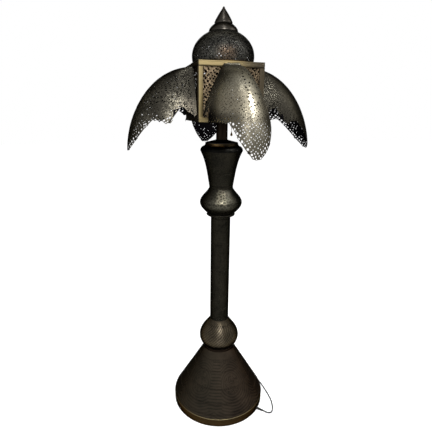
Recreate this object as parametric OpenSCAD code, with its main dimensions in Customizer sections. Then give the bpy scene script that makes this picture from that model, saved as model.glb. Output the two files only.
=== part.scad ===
// Lantern floor lamp: spun and pierced brass, a square lantern on a turned stem, four leaf shades.
// Millimetres, +Z up. The origin is on the floor, on the axis of the stem. The front leaf faces -Y.

/* [Base] */
// Radius of the base where it stands
base_r = 208; // [190:1:230]
// Thickness of the felt ring under the base
felt_t = 2; // [1:0.5:4]
// Height of the plain brass band round the foot, above the felt
band_h = 36; // [30:1:46]
// Height of the engraved cone
cone_h = 242; // [200:1:280]
// Radius of the top of the cone
cone_top_r = 70; // [62:1:78]
// Thickness of the iron weight plate
weight_t = 10; // [6:1:14]
// Radius of the bead between the band and the cone
foot_bead_r = 3; // [2:0.5:4]

/* [Stem] */
// Wall of the spun brass pieces
wall = 2; // [1.6:0.1:3]
// Height of the collar under the lower ball
collar_h = 11; // [8:1:16]
// Largest radius of the lower ball
ball_r = 89; // [80:1:100]
// Height of the lower ball under its widest line
ball_low_h = 42; // [34:1:50]
// Height of the lower ball over its widest line
ball_high_h = 87; // [70:1:110]
// Radius of the column tube
column_r = 41.5; // [36:0.5:46]
// Length of the column tube
column_h = 488; // [380:1:600]
// Radius of the ring under the knop
knop_ring_r = 60; // [54:1:66]
// Height of the ring under the knop
knop_ring_h = 10; // [6:1:14]
// Largest radius of the knop
knop_r = 88; // [78:1:98]
// Height of the knop under its widest line
knop_low_h = 47; // [38:1:56]
// Height of the knop over its widest line
knop_high_h = 65; // [54:1:76]
// Radius of the waist between the knop and the vase
waist_r = 49; // [44:1:54]
// Height of the vase from the waist to its rim
vase_h = 148; // [120:1:180]
// Radius of the rim of the vase
rim_r = 86.5; // [80:0.5:94]
// Height of the rounded shoulder over the rim
shoulder_h = 19; // [14:1:26]
// Radius of the brass band on the shoulder
vase_band_r = 69; // [64:1:74]
// Height of the brass band on the shoulder
vase_band_h = 13; // [10:1:18]
// Height of the dark cap inside the band
cap_rise = 12; // [6:1:20]
// Radius of the neck tube
neck_r = 23; // [18:0.5:26]
// Length of the neck tube that shows
neck_h = 71; // [50:1:100]

/* [Rod and lampholder] */
// Outer radius of the threaded tube that clamps the stem together
rod_r = 5; // [4.5:0.25:6]
// Wall of the threaded tube
rod_wall = 1.3; // [1:0.1:1.5]
// Width of the nuts across their flats
nut_af = 22; // [18:1:26]
// Height of the nuts
nut_h = 7; // [5:0.5:9]
// Outer radius of the lampholder
holder_r = 20; // [18:0.5:23]
// Height of the lampholder above its cup
holder_h = 47; // [42:1:54]
// Radius of the screw cap of the bulb
bulb_cap_r = 13.2; // [12.8:0.1:13.6]
// Largest radius of the bulb
bulb_r = 30; // [25:1:34]
// Length of the bulb over its cap
bulb_glass_h = 80; // [70:1:90]

/* [Lantern] */
// Width of the square lantern
box_w = 246; // [210:1:280]
// Height of the square lantern
box_h = 208; // [180:1:240]
// Sheet thickness of the frame
frame_t = 2; // [1.5:0.1:3]
// Height of the top rim
top_rim_h = 20; // [16:1:26]
// Height of the bottom rim
low_rim_h = 16; // [12:1:22]
// Width of each leg of the corner posts
post_w = 18; // [14:1:30]
// Sheet thickness of the pierced panels
panel_t = 1.2; // [0.8:0.1:1.6]
// Distance between the rows of piercing in a panel
pierce_pitch = 14; // [12:0.5:20]
// Radius of the piercing in a panel
pierce_r = 5; // [3:0.25:6]

/* [Dome and finial] */
// Distance from the side of the lantern in to the widest line of the dome
dome_inset = 5; // [3:1:20]
// Height of the widest line of the dome over its flange
dome_low_h = 24; // [16:1:30]
// Height from the widest line of the dome to the top of its oval
dome_high_h = 97; // [86:1:110]
// Radius of the skirt of the cap on the dome
skirt_r = 55; // [46:1:60]
// Height of the cap on the dome
skirt_h = 26.8; // [20:0.1:34]
// Largest radius of the finial
finial_r = 34; // [28:1:40]
// Height of the finial
finial_h = 60; // [48:1:76]
// Depth of the ring that locates the dome in the lantern
locate_h = 8; // [6:1:12]

/* [Leaf shades] */
// How far a leaf stands out from the lantern
leaf_reach = 249; // [200:1:280]
// How far the tip of a leaf hangs below the lantern
leaf_tip_below = 109; // [70:1:150]
// How far the sides of a leaf hang below the lantern, at the full curve
leaf_side_below = 91; // [50:1:130]
// Width of a leaf where it hangs on the top rim
leaf_top_w = 66; // [50:1:80]
// Distance from the top of the lantern down to the fold of a leaf
leaf_hang = 13; // [8:1:18]
// Height of the tab of a leaf on the top rim, above its fold
leaf_tab = 6; // [3:0.5:7]
// Sheet thickness of a leaf
leaf_t = 1.6; // [1.2:0.1:2.4]
// Clear edge of the corner post beside a leaf
leaf_margin = 1.3; // [1:0.1:4]

/* [Pull switch] */
// Distance of the chain from the axis
chain_x = 40; // [36:0.5:46]
// Radius of the balls of the chain
chain_ball_r = 1.4; // [1.2:0.1:1.8]
// Length of the chain
chain_len = 86; // [74:1:88]
// Length of the pull at the end of the chain
pull_len = 18; // [14:1:22]
// How far the chain is pulled
pull_travel = 8; // [4:0.5:9]

/* [Cord] */
// Diameter of the cord
cord_d = 6; // [5:0.25:7]
// Height of the cord's hole over the floor
cord_exit_z = 8; // [7.5:0.25:10]
// Length of the strain relief
relief_len = 30; // [22:1:40]

/* [Hidden] */
$fn = 96;

// Levels up the lamp
band_top = felt_t + band_h;
cone_top = band_top + cone_h;
collar_top = cone_top + collar_h;
ball_mid = collar_top + ball_low_h;
ball_top = ball_mid + ball_high_h;
column_top = ball_top + column_h;
knop_base = column_top + knop_ring_h;
knop_mid = knop_base + knop_low_h;
waist_z = knop_mid + knop_high_h;
rim_z = waist_z + vase_h;
shoulder_top = rim_z + shoulder_h;
vase_band_top = shoulder_top + vase_band_h;
cap_top = vase_band_top + cap_rise;
box_z = cap_top + neck_h;
box_top = box_z + box_h;
dome_r = box_w / 2 - dome_inset;
flange_t = 2;
flange_top = box_top + flange_t;
dome_mid = flange_top + dome_low_h;
skirt_z = dome_mid + dome_high_h * sqrt(1 - pow((skirt_r - wall) / dome_r, 2));
finial_z = skirt_z + skirt_h;
finial_top = finial_z + finial_h;

// Clearances
rod_gap = 0.2;
slide_gap = 0.4;
chain_gap = 0.6;
seat_lap = 12;
grommet_lip = 1.5;
rod_hole_r = rod_r + rod_gap;

// Base
band_wall = 2;
ledge_t = 2;
channel_w = 16;
channel_r = base_r - channel_w;
weight_r = channel_r - band_wall - slide_gap;
weight_top = band_top + 4;
weight_z = weight_top - weight_t;
ledge_r = channel_r - band_wall - seat_lap;
cone_foot_r = base_r - 1;

// Lantern
face = box_w / 2;
inner_face = face - frame_t;
dome_hole_r = dome_r - 10;
locate_r = dome_hole_r - slide_gap;

function reversed(p) = [for (i = [len(p) - 1:-1:0]) p[i]];
function inward(p, t) = [for (q = p) [q[0] - t, q[1]]];
function lip(p, t) = concat(p, reversed(inward(p, t)));
function unit(v) = v / norm(v);

// A rounded shoulder from r_low at z up to r_top at z + h, and the shell under it
function crown(r_top, r_low, z, h, steps) = [for (i = [0:steps]) let (a = 90 * i / steps)
    [r_top + (r_low - r_top) * cos(a), z + h * sin(a)]];
function crown_shell(r_top, r_low, z, h, t, steps = 7) =
    concat(crown(r_top, r_low, z, h, steps), reversed(crown(r_top - t, r_low - t, z, h - t, steps)));

// A cap that bends in evenly from r_low at z to r_top at z + h, and the shell under it
function bulge(r_top, r_low, z, h, steps) = [for (i = [0:steps]) let (v = i / steps)
    [r_low - (r_low - r_top) * v * v, z + h * v]];
function bulge_shell(r_top, r_low, z, h, t, steps = 7) =
    concat(bulge(r_top, r_low, z, h, steps), reversed(bulge(r_top - t, r_low - t, z, h - t, steps)));

// A line that swells from r_end to r_mid, as the turner's curve between two heights
function swell(r_end, r_mid, z_end, z_mid, power, steps = 9) =
    [for (i = [0:steps]) let (u = i / steps)
        [r_end + (r_mid - r_end) * pow(sin(90 * u), power), z_end + (z_mid - z_end) * u]];

module ring(r_out, r_in, z, h) {
    translate([0, 0, z]) rotate_extrude() translate([r_in, 0]) square([r_out - r_in, h]);
}

// A spun shell from an outline, closed below by a plate with a hole for the rod
module spun(outline, t, z_plate, r_plate) {
    rotate_extrude() {
        polygon(lip(outline, t));
        translate([rod_hole_r, z_plate]) square([r_plate - rod_hole_r, t]);
    }
}

module felt_ring() {
    color([0.16, 0.15, 0.14]) ring(base_r - band_wall, channel_r, 0, felt_t);
}

module foot_band() {
    color([0.45, 0.36, 0.2]) difference() {
        rotate_extrude() {
            translate([channel_r - band_wall, felt_t]) square([channel_w + band_wall, band_wall]);
            translate([base_r - band_wall, felt_t]) square([band_wall, band_h]);
            translate([base_r - foot_bead_r + 0.5, band_top - foot_bead_r]) circle(r = foot_bead_r);
            translate([channel_r - band_wall, felt_t])
                square([band_wall, weight_top + ledge_t - felt_t]);
            translate([ledge_r, weight_top]) square([channel_r - ledge_r, ledge_t]);
        }
        cord_place() translate([seat_lap, 0, 0]) rotate([0, -90, 0])
            cylinder(r = grommet_r, h = channel_w + 3 * seat_lap);
    }
}

module base_cone() {
    outline = [[cone_foot_r, band_top], [cone_foot_r, band_top + 3],
        [cone_top_r + 2, cone_top - 8], [cone_top_r, cone_top - 4], [cone_top_r, cone_top]];
    color([0.2, 0.17, 0.13]) spun(outline, wall, cone_top - wall, cone_top_r - wall / 2);
}

module weight_plate() {
    color([0.2, 0.2, 0.21]) ring(weight_r, rod_hole_r, weight_z, weight_t);
}

// The cord comes out between the front and the right leaf
cord_angle = -45;
grommet_r = 5.2;
grommet_flange = 1.2;
module cord_place() {
    rotate([0, 0, cord_angle]) translate([base_r, 0, cord_exit_z]) children();
}

module cord_grommet() {
    color([0.08, 0.08, 0.08]) cord_place() rotate([0, -90, 0]) difference() {
        union() {
            translate([0, 0, -grommet_lip]) cylinder(r = grommet_r + grommet_flange, h = grommet_lip);
            cylinder(r = grommet_r - 0.1, h = 4);
        }
        translate([0, 0, -3]) cylinder(r = cord_d / 2 + 0.2, h = 12);
    }
}

module strain_relief() {
    color([0.08, 0.08, 0.08]) cord_place() translate([grommet_lip, 0, 0]) rotate([0, 90, 0])
        difference() {
            cylinder(r1 = grommet_r, r2 = cord_d / 2 + 0.9, h = relief_len);
            translate([0, 0, -1]) cylinder(r = cord_d / 2 + 0.2, h = relief_len + 2);
        }
}

module centre_rod() {
    color([0.62, 0.6, 0.55]) ring(rod_r, rod_r - rod_wall, weight_z, cup_z + 4 - weight_z);
}

washer_t = 2;
module rod_nuts() {
    for (z = [weight_top + washer_t, box_z + frame_t + washer_t])
        color([0.62, 0.6, 0.55]) translate([0, 0, z]) difference() {
            cylinder(r = nut_af / 2 / cos(30), h = nut_h, $fn = 6);
            translate([0, 0, -1]) cylinder(r = rod_r, h = nut_h + 2);
        }
}

module rod_washers() {
    for (z = [weight_top, box_z + frame_t])
        color([0.62, 0.6, 0.55]) ring(nut_af / 2 + 4, rod_hole_r, z, washer_t);
}

module lower_collar() {
    color([0.16, 0.08, 0.06]) rotate_extrude() polygon([[cone_top_r - seat_lap, cone_top],
        [cone_top_r + 2, cone_top], [cone_top_r + 3, cone_top + collar_h / 2],
        [cone_top_r + 2, collar_top], [cone_top_r - seat_lap, collar_top]]);
}

module lower_ball() {
    low = swell(cone_top_r + 3, ball_r, collar_top, ball_mid, 0.9, 6);
    high = reversed(swell(column_r, ball_r, ball_top, ball_mid, 1.15, 9));
    outline = concat(low, [for (i = [1:len(high) - 1]) high[i]]);
    color([0.13, 0.11, 0.09]) {
        spun(outline, wall, collar_top, cone_top_r + 2);
        ring(column_r - wall / 2, column_r - seat_lap, ball_top - wall, wall);
    }
}

module column_tube() {
    color([0.12, 0.11, 0.09]) difference() {
        ring(column_r, column_r - wall, ball_top, column_h);
        for (z = [ball_top + 10, column_top - 14]) ring(column_r + 1, column_r - 0.6, z, 4);
    }
}

module centring_discs() {
    for (z = [ball_top, column_top - 3])
        color([0.3, 0.26, 0.2]) ring(column_r - wall, rod_hole_r, z, 3);
}

module knop_ring() {
    color([0.2, 0.17, 0.12]) rotate_extrude() polygon([[column_r - seat_lap, column_top],
        [knop_ring_r - 6, column_top], [knop_ring_r, column_top + 4],
        [knop_ring_r, column_top + knop_ring_h - 2], [knop_ring_r - 3, knop_base],
        [column_r - seat_lap, knop_base]]);
}

module upper_knop() {
    low = swell(knop_ring_r - 4, knop_r, knop_base, knop_mid, 1.0, 6);
    high = reversed(swell(waist_r, knop_r, waist_z, knop_mid, 1.65, 9));
    outline = concat(low, [for (i = [1:len(high) - 1]) high[i]]);
    color([0.14, 0.12, 0.09]) spun(outline, wall, knop_base, knop_ring_r - 5);
}

function flare(u) = 0.62 * u + 0.38 * pow(u, 4);
module vase() {
    steps = 12;
    outline = [for (i = [0:steps]) let (u = i / steps)
        [waist_r + (rim_r - waist_r) * flare(u), waist_z + vase_h * u]];
    color([0.13, 0.12, 0.09]) spun(outline, wall, waist_z, waist_r - wall / 2);
}

module vase_shoulder() {
    color([0.13, 0.11, 0.09]) rotate_extrude() {
        polygon(crown_shell(vase_band_r, rim_r, rim_z, shoulder_h, wall));
        translate([vase_band_r - seat_lap, shoulder_top - wall]) square([seat_lap, wall]);
    }
}

module vase_band() {
    color([0.42, 0.33, 0.16]) rotate_extrude() polygon([[vase_band_r - seat_lap, shoulder_top],
        [vase_band_r, shoulder_top], [vase_band_r + 0.8, shoulder_top + 2],
        [vase_band_r - 1, shoulder_top + 4], [vase_band_r - 3, vase_band_top - 3],
        [vase_band_r - 2.6, vase_band_top - 1], [vase_band_r - 4, vase_band_top],
        [vase_band_r - seat_lap, vase_band_top]]);
}

module vase_cap() {
    cap_r = vase_band_r - 4;
    color([0.09, 0.08, 0.07]) rotate_extrude() polygon([[rod_hole_r, cap_top],
        [neck_r + 1, cap_top], [neck_r + 3, cap_top - 1.5], [cap_r, vase_band_top + 1],
        [cap_r, vase_band_top], [cap_r - seat_lap / 2, vase_band_top],
        [neck_r + 3, cap_top - 1.5 - wall], [rod_hole_r, cap_top - wall]]);
}

module neck_tube() {
    color([0.2, 0.12, 0.08]) ring(neck_r, neck_r - wall, cap_top, neck_h);
}

// The square lantern
module square_ring(half, t, z, h) {
    translate([0, 0, z]) linear_extrude(h) difference() {
        square(2 * half, center = true);
        square(2 * (half - t), center = true);
    }
}

vent_r = 7;
vent_ring_r = 78;
eyelet_hole_r = 4.6;
module lantern_base() {
    color([0.2, 0.17, 0.12]) translate([0, 0, box_z]) linear_extrude(frame_t) difference() {
        square(2 * inner_face, center = true);
        circle(r = rod_hole_r);
        translate([chain_x, 0]) circle(r = eyelet_hole_r);
        for (a = [30:60:330]) rotate(a) translate([vent_ring_r, 0]) circle(r = vent_r);
    }
}

module low_rim() {
    color([0.55, 0.46, 0.28]) square_ring(face, frame_t, box_z, low_rim_h);
}

groove = 0.7;
module top_rim() {
    color([0.66, 0.57, 0.37]) difference() {
        square_ring(face, frame_t, box_top - top_rim_h, top_rim_h);
        for (z = [box_top - 6, box_top - top_rim_h + 3])
            square_ring(face + 1, 1 + groove, z, 2);
    }
}

module corner_posts() {
    post_h = box_h - low_rim_h - top_rim_h;
    for (a = [0:90:270])
        color([0.62, 0.53, 0.33]) rotate([0, 0, a])
            translate([-face, -face, box_z + low_rim_h]) linear_extrude(post_h)
                polygon([[0, 0], [post_w, 0], [post_w, frame_t], [frame_t, frame_t],
                    [frame_t, post_w], [0, post_w]]);
}

panel_half = inner_face - panel_t - 0.2;
panel_h = box_h - 2 * frame_t;
module panel() {
    columns = floor((face - post_w - pierce_r) / pierce_pitch);
    rows = floor((panel_h - low_rim_h - top_rim_h) / pierce_pitch) - 1;
    row_z = low_rim_h + (panel_h - low_rim_h - top_rim_h - rows * pierce_pitch) / 2 + 1;
    color([0.3, 0.26, 0.18]) translate([0, -inner_face, box_z + frame_t]) rotate([90, 0, 0])
        translate([0, 0, -panel_t]) linear_extrude(panel_t) difference() {
            translate([-panel_half, 0]) square([2 * panel_half, panel_h]);
            for (i = [-columns:columns], j = [0:rows])
                translate([i * pierce_pitch, row_z + j * pierce_pitch])
                    if ((i + columns + j) % 2 == 0) circle(r = pierce_r, $fn = 6);
                    else circle(r = pierce_r * 0.7);
        }
}

module panel_front() { panel(); }
module panel_right() { rotate([0, 0, 90]) panel(); }
module panel_back() { rotate([0, 0, 180]) panel(); }
module panel_left() { rotate([0, 0, 270]) panel(); }

module top_plate() {
    color([0.25, 0.21, 0.15]) translate([0, 0, box_top - frame_t]) linear_extrude(frame_t)
        difference() {
            square(2 * inner_face, center = true);
            circle(r = dome_hole_r);
        }
}

// Leaf shades: t runs from the rim (0) to the tip (1), u across from post to post (-1 to 1)
leaf_z = box_top - leaf_hang;
leaf_drop = leaf_z - box_z + leaf_tip_below;
leaf_side_drop = leaf_z - box_z + leaf_side_below;
leaf_w = box_w - 2 * leaf_margin;
leaf_curl = 1.1;
leaf_flare = 1.93;
function leaf_half(t) = (leaf_top_w + (leaf_w - leaf_top_w) * pow(sin(90 * t), leaf_flare)) / 2;
function leaf_fall(t) = 1 - pow(max(cos(90 * t), 0), leaf_curl);
function leaf_point(t, u) =
    let (s = pow(sin(90 * abs(u)), 1.2), c = pow(max(cos(90 * u), 0), 0.55))
        [sign(u) * leaf_half(t) * s, -face - leaf_reach * sin(90 * t) * c,
            leaf_z - leaf_fall(t) * (leaf_side_drop + (leaf_drop - leaf_side_drop) * c)];
function leaf_normal(t, u) =
    let (a = max(min(t, 0.97), 0.03), b = max(min(u, 0.97), -0.97), e = 0.01)
        unit(cross(leaf_point(a + e, b) - leaf_point(a - e, b),
            leaf_point(a, b + e) - leaf_point(a, b - e)));

// The hem: a long middle lobe, a side lobe, and a notch before the post. The leaves are cut by
// hand, so each has its own middle lobe: how far it leans across, and half its width
lobe_front = [0.1, 0.55];
lobe_right = [0, 0.68];
lobe_back = [-0.1, 0.55];
lobe_left = [0.08, 0.58];
hem_ratio = 0.742;
function arch(x, w) = abs(x) < w ? cos(90 * x / w) : 0;
function hem(u, lobe) = hem_ratio + (1 - hem_ratio) * pow(arch(u - lobe[0], lobe[1]), 1.1)
    + 0.03 * arch(abs(u) - 0.84, 0.08) - 0.1 * arch(abs(u) - 0.945, 0.062);

across = 20;
down = 14;
plain_steps = 6;
function spread(j) = let (v = 2 * j / across - 1) sign(v) * (1 - pow(1 - abs(v), 1.7));
function sheet_point(t, u, t_in) =
    let (p = leaf_point(t, u) + t_in * leaf_normal(t, u))
        [p[0], abs(u) > 0.999 || t < 0.001 ? -face : min(p[1], -face), p[2]];
function pierced(i, j) = i > plain_steps && i < down + (j % 2) && (i + j) % 2 == 1;

// Row 0 is the top of the tab, row 1 the fold, and the last row the hem; side is 0 outside
tab_ratio = 0.85;
function leaf_row(i, u, side, lobe) =
    i > 1 ? sheet_point(hem(u, lobe) * (i - 1) / down, u, side) :
    [sheet_point(0, u, 0)[0] * (i == 0 ? tab_ratio : 1), side == 0 ? -face - leaf_t : -face,
        i == 0 ? leaf_z + leaf_tab : leaf_z - side];

module leaf(lobe) {
    row = across + 1;
    rows = down + 1;
    grid = row * (rows + 1);
    lattice = [for (side = [0, leaf_t], i = [0:rows], j = [0:across]) leaf_row(i, spread(j), side, lobe)];
    cells = [for (i = [0:rows - 1], j = [0:across - 1]) if (pierced(i, j)) [i, j]];
    plain = [for (i = [0:rows - 1], j = [0:across - 1]) if (!pierced(i, j)) [i, j]];
    // a diamond hole in the middle of a cell
    holes = [for (c = cells, side = [0, leaf_t], k = [[0.2, 0.5], [0.5, 0.8], [0.8, 0.5], [0.5, 0.2]])
        leaf_row(c[0] + k[0], spread(c[1] + k[1]), side, lobe)];
    corners = [[0, 0], [0, 1], [1, 1], [1, 0]];
    function at(side, i, j) = side * grid + i * row + j;
    function quad(q) = [[q[0], q[1], q[2]], [q[0], q[2], q[3]]];
    function frame(c, h) = [for (k = [0:3])
        each [[c[k], c[(k + 1) % 4], h[k]], [c[(k + 1) % 4], h[(k + 1) % 4], h[k]]]];
    function cell(side, c) = [for (k = corners) at(side, c[0] + k[0], c[1] + k[1])];
    function hole(side, n) = [for (k = [0:3]) 2 * grid + n * 8 + side * 4 + k];
    faces = concat(
        [for (c = plain) each quad(cell(0, c))],
        [for (c = plain) each quad(reversed(cell(1, c)))],
        [for (n = [0:len(cells) - 1]) each frame(cell(0, cells[n]), hole(0, n))],
        [for (n = [0:len(cells) - 1], f = frame(cell(1, cells[n]), hole(1, n))) reversed(f)],
        [for (n = [0:len(cells) - 1], k = [0:3])
            let (m = (k + 1) % 4, o = hole(0, n), p = hole(1, n)) each quad([o[k], o[m], p[m], p[k]])],
        [for (j = [0:across - 1]) each quad([at(0, 0, j + 1), at(0, 0, j), at(1, 0, j), at(1, 0, j + 1)])],
        [for (j = [0:across - 1])
            each quad([at(0, rows, j), at(0, rows, j + 1), at(1, rows, j + 1), at(1, rows, j)])],
        [for (i = [0:rows - 1]) each quad([at(0, i, 0), at(0, i + 1, 0), at(1, i + 1, 0), at(1, i, 0)])],
        [for (i = [0:rows - 1])
            each quad([at(0, i + 1, across), at(0, i, across), at(1, i, across), at(1, i + 1, across)])]);
    color([0.42, 0.4, 0.33]) polyhedron(concat(lattice, holes), faces);
}

module leaf_front() { leaf(lobe_front); }
module leaf_right() { rotate([0, 0, 90]) leaf(lobe_right); }
module leaf_back() { rotate([0, 0, 180]) leaf(lobe_back); }
module leaf_left() { rotate([0, 0, 270]) leaf(lobe_left); }

bracket_w = leaf_top_w * 0.6;
bracket_t = 1.5;
bracket_leg = 11;
module leaf_brackets() {
    for (a = [0:90:270])
        color([0.4, 0.34, 0.22]) rotate([0, 0, a])
            translate([-bracket_w / 2, -face - bracket_leg, leaf_z - leaf_t - 0.6]) {
                translate([0, 0, -bracket_t]) cube([bracket_w, bracket_leg, bracket_t]);
                translate([0, bracket_leg - bracket_t, 1 - bracket_leg])
                    cube([bracket_w, bracket_t, bracket_leg - 1]);
            }
}

// Lampholder and bulb
cup_z = box_z + frame_t + washer_t + nut_h;
cup_h = 14;
holder_z = cup_z + cup_h;
holder_top = holder_z + holder_h;
holder_floor = 16;
holder_bore = bulb_cap_r + 1.3;
shell_t = 0.6;
arm_w = 18;
arm_h = pull_travel + 12;
chain_bore = chain_ball_r + chain_gap;
module holder_cup() {
    color([0.5, 0.42, 0.24]) rotate_extrude() polygon([[rod_r, cup_z], [rod_r + 5, cup_z],
        [holder_r - 3, cup_z + cup_h - 7], [holder_r + 1.5, holder_z], [holder_r + 1.5, holder_z + 3],
        [holder_r, holder_z + 3], [holder_r, holder_z], [holder_r - 4.5, cup_z + cup_h - 6],
        [rod_r + 4, cup_z + 1.5], [rod_r, cup_z + 1.5]]);
}

module lampholder() {
    color([0.09, 0.08, 0.08]) difference() {
        union() {
            translate([0, 0, holder_z + 3]) cylinder(r = holder_r + 1, h = holder_h - 3);
            translate([0, 0, holder_z]) cylinder(r = holder_r - 0.2, h = 4);
            translate([0, -arm_w / 2, holder_z + 6]) cube([chain_x + 7, arm_w, arm_h]);
        }
        translate([0, 0, holder_z + holder_floor]) cylinder(r = holder_bore, h = holder_h);
        translate([0, 0, holder_z - 1]) cylinder(r = cord_d / 2 + 0.3, h = holder_floor + 2);
        translate([chain_x, 0, holder_z]) cylinder(r = chain_bore, h = 6 + arm_h - 3);
    }
}

module holder_shell() {
    color([0.62, 0.5, 0.26])
        ring(holder_bore, holder_bore - shell_t, holder_z + holder_floor, holder_h - holder_floor - 1);
}

cap_z = holder_z + holder_floor;
glass_z = holder_top + 1;
module bulb_cap() {
    color([0.7, 0.7, 0.68]) rotate_extrude() polygon([[0, cap_z], [5, cap_z], [bulb_cap_r, cap_z + 6],
        [bulb_cap_r, glass_z], [bulb_cap_r - 1, glass_z], [bulb_cap_r - 1, cap_z + 7], [0, cap_z + 2]]);
}

module bulb_glass() {
    bulb_mid = glass_z + bulb_glass_h - bulb_r;
    neck = swell(bulb_cap_r, bulb_r, glass_z, bulb_mid, 1.4, 8);
    crown = [for (i = [1:8]) let (a = 90 * i / 8)
        [max(bulb_r * cos(a), 0), bulb_mid + bulb_r * sin(a)]];
    inner = [for (p = concat(neck, crown)) [max(p[0] - 1, 0), p[1] - (p[1] > bulb_mid ? 1 : 0)]];
    color([0.93, 0.9, 0.82]) rotate_extrude() polygon(concat(neck, crown, reversed(inner)));
}

module chain_eyelet() {
    color([0.62, 0.5, 0.26]) translate([chain_x, 0, box_z]) rotate_extrude()
        polygon([[chain_bore, -2], [eyelet_hole_r + 2, -2], [eyelet_hole_r + 2, 0],
            [eyelet_hole_r - 0.1, 0], [eyelet_hole_r - 0.1, frame_t], [eyelet_hole_r + 2, frame_t],
            [eyelet_hole_r + 2, frame_t + 1.5], [chain_bore, frame_t + 1.5]]);
}

chain_top = holder_z + 6 + arm_h - 5;
chain_end = chain_top - chain_len;
module pull_chain() {
    pitch = 3.2 * chain_ball_r;
    balls = floor(chain_len / pitch);
    color([0.6, 0.55, 0.42]) translate([chain_x, 0, 0]) {
        translate([0, 0, chain_end]) cylinder(r = 0.5, h = chain_len);
        for (i = [0:balls - 1])
            translate([0, 0, chain_top - i * pitch]) sphere(r = chain_ball_r);
    }
}

module pull_bell() {
    color([0.5, 0.42, 0.24]) translate([chain_x, 0, chain_end - pull_len]) rotate_extrude()
        polygon([[0, 0], [3, 0.4], [4.6, 3], [4.8, 5], [3.6, 9], [1.8, pull_len * 0.75],
            [1.6, pull_len], [0, pull_len]]);
}

// Lid: dome, cap and finial lift off together
module dome_flange() {
    color([0.3, 0.25, 0.16]) rotate_extrude() {
        translate([locate_r - wall, box_top]) square([dome_r + 3 - locate_r + wall, flange_t]);
        translate([locate_r - wall, box_top - locate_h]) square([wall, locate_h + flange_t]);
    }
}

dome_steps = 14;
dome_low_a = -asin(dome_low_h / dome_high_h);
dome_top_a = acos(skirt_r / dome_r) + 8;
function dome_line(inset) = [for (i = [0:dome_steps])
    let (a = dome_low_a + (dome_top_a - dome_low_a) * i / dome_steps)
        [(dome_r - inset) * cos(a), i == 0 ? flange_top : dome_mid + (dome_high_h - inset) * sin(a)]];
dome_rows = [[-4, 24, 4.2], [8, 24, 3], [18, 24, 4.2], [28, 16, 3.2], [37, 16, 3]];
module dome() {
    color([0.14, 0.13, 0.11]) difference() {
        rotate_extrude() polygon(concat(dome_line(0), reversed(dome_line(wall))));
        for (r = [0:len(dome_rows) - 1], k = [0:dome_rows[r][1] - 1])
            translate([0, 0, dome_mid]) rotate([0, 0, (k + r / 2) * 360 / dome_rows[r][1]])
                rotate([0, -dome_rows[r][0], 0]) translate([dome_r / 2, 0, 0]) rotate([0, 90, 0])
                    cylinder(r = dome_rows[r][2], h = dome_r);
    }
}

module dome_cap() {
    top_r = finial_r + 1;
    color([0.12, 0.11, 0.1]) rotate_extrude() {
        polygon(bulge_shell(top_r, skirt_r, skirt_z, skirt_h, wall));
        translate([rod_hole_r, finial_z - wall]) square([top_r - rod_hole_r, wall]);
    }
}

module finial() {
    steps = 8;
    foot_h = finial_h / 12;
    outline = [for (i = [0:steps - 1]) let (u = i / steps)
        [finial_r * (pow(1 - u, 0.85) - 0.03 * pow(sin(180 * u), 2)), finial_z + foot_h + (finial_h - foot_h) * u]];
    tip = [for (a = [35, 65]) [finial_r / 6 * cos(a), finial_top - finial_h / 9 * (1 - sin(a))]];
    color([0.12, 0.11, 0.1]) rotate_extrude() polygon(concat([[0, finial_z], [finial_r - 3, finial_z]],
        outline, tip, [[0, finial_top]]));
}

// Cord: the lead runs round the foot on the floor to a coil behind the base
cord_z = cord_d / 2 + 0.05;
cord_out_r = base_r + grommet_lip + relief_len;
lead_start = [cord_out_r * cos(cord_angle), cord_out_r * sin(cord_angle), cord_exit_z];
lead_points = [[179, -179, 7], [187, -184, 5.6], [197, -185, 4.2], [206, -182, 3.4],
    [213, -175, cord_z], [219, -164, cord_z], [225, -148, cord_z], [230, -128, cord_z],
    [233, -104, cord_z], [233, -78, cord_z], [232, -52, cord_z], [230, -26, cord_z],
    [227, 0, cord_z], [223, 25, cord_z], [218, 50, cord_z], [212, 74, cord_z],
    [205, 97, cord_z], [197, 120, cord_z], [189, 144, cord_z], [180, 168, cord_z],
    [172, 192, cord_z], [164, 215, cord_z], [157, 236, cord_z]];

// Coil: two layers of turns, in on the floor and out again on top
coil_at = [109, 237];
coil_r = 44;
coil_in_angle = 19;
coil_out_angle = 90;
coil_turns = 6 + (coil_out_angle - coil_in_angle) / 360;
coil_step = cord_d * 1.15;
coil_lift = cord_d + 0.8;
layer_turns = (coil_turns - 0.5) / 2;
coil_inner_r = coil_r - coil_step * layer_turns;

// How far out and how high the turn lies after so many turns; it climbs in the half turn between
function climb(turns) = min(max((turns - layer_turns) / 0.5, 0), 1);
function turn_r(turns) =
    turns <= layer_turns ? coil_r - coil_step * turns :
    turns < layer_turns + 0.5 ? coil_inner_r - coil_step / 2 * (1 - pow(1 - climb(turns), 2)) :
    coil_inner_r - coil_step / 2 + (coil_r - coil_inner_r + coil_step / 2)
        * (turns - layer_turns - 0.5) / layer_turns;
function turn_point(turns) =
    let (a = coil_in_angle + 360 * turns, r = turn_r(turns))
        [coil_at[0] + r * cos(a), coil_at[1] + r * sin(a),
            cord_z + coil_lift * pow(climb(turns), 2)];
function heading(a) = [-sin(a), cos(a), 0];
coil_in = turn_point(0) - cord_d * heading(coil_in_angle);
coil_out = turn_point(coil_turns) + cord_d * heading(coil_out_angle);
coil_rings = 24;
coil_path = concat([coil_in],
    [for (i = [0:coil_rings * coil_turns]) turn_point(i / coil_rings)],
    [turn_point(coil_turns), coil_out]);

// Least gap between turns, measured between the rings
coil_gap = min([for (i = [0:len(coil_path) - 1]) for (j = [i + 8:2:len(coil_path) - 1])
    norm(coil_path[i] - coil_path[j])]) - cord_d;
echo(coil_gap = coil_gap);

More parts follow.
